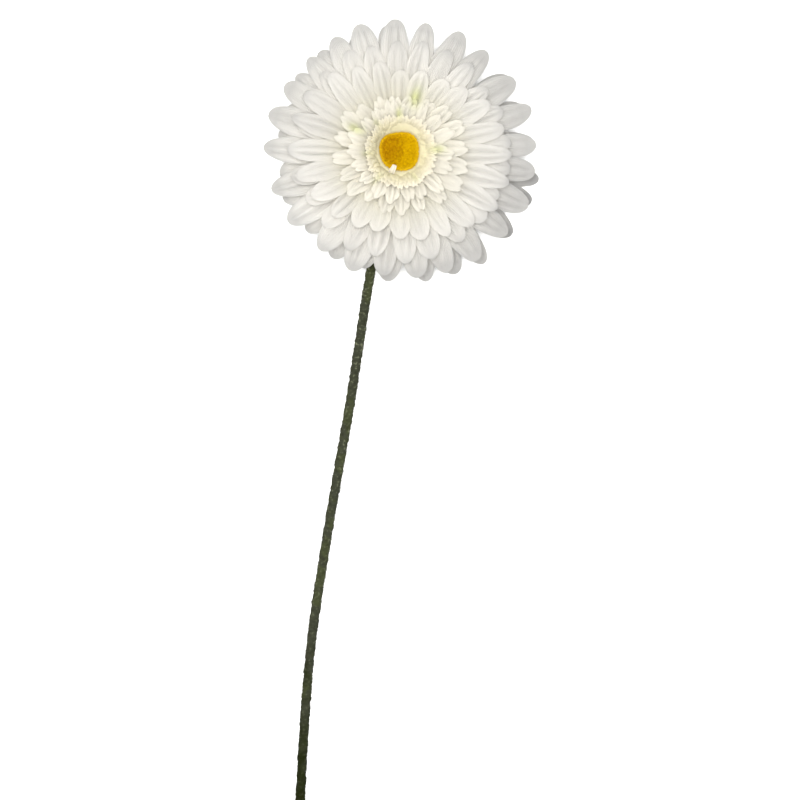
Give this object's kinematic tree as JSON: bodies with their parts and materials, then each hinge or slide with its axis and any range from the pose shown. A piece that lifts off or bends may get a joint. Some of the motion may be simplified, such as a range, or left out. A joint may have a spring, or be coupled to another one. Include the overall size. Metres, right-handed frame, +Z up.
{
  "type": "artificial cut gerbera",
  "caption": "Artificial white gerbera on one long wrapped stem, with fabric petals in layers, a cream fringe and a flocked yellow centre, lying on its back.",
  "frame": {"origin": "on the surface that the flower lies on, under the middle of its whole length and width", "axes": "+Y along the lying stem, from its cut end to the head; +Z up, the way the head faces; +X to the right of the head as seen from above"},
  "size_m": [0.117, 0.4501, 0.0377],
  "materials": {
    "stem_wrap": "matte",
    "calyx_green": "matte",
    "petal_white": "matte",
    "petal_cream": "matte",
    "fringe_cream": "matte",
    "flock_yellow": "matte"
  },
  "bodies": {
    "root": {"stem": "stem_wrap", "calyx": "calyx_green", "petals_long_lower": "petal_white", "petals_long_upper": "petal_white", "petals_middle_lower": "petal_white", "petals_middle_upper": "petal_white", "petals_short_lower": "petal_cream", "petals_short_upper": "petal_cream", "fringe": "fringe_cream", "centre_pad": "flock_yellow"}
  },
  "joints": []
}
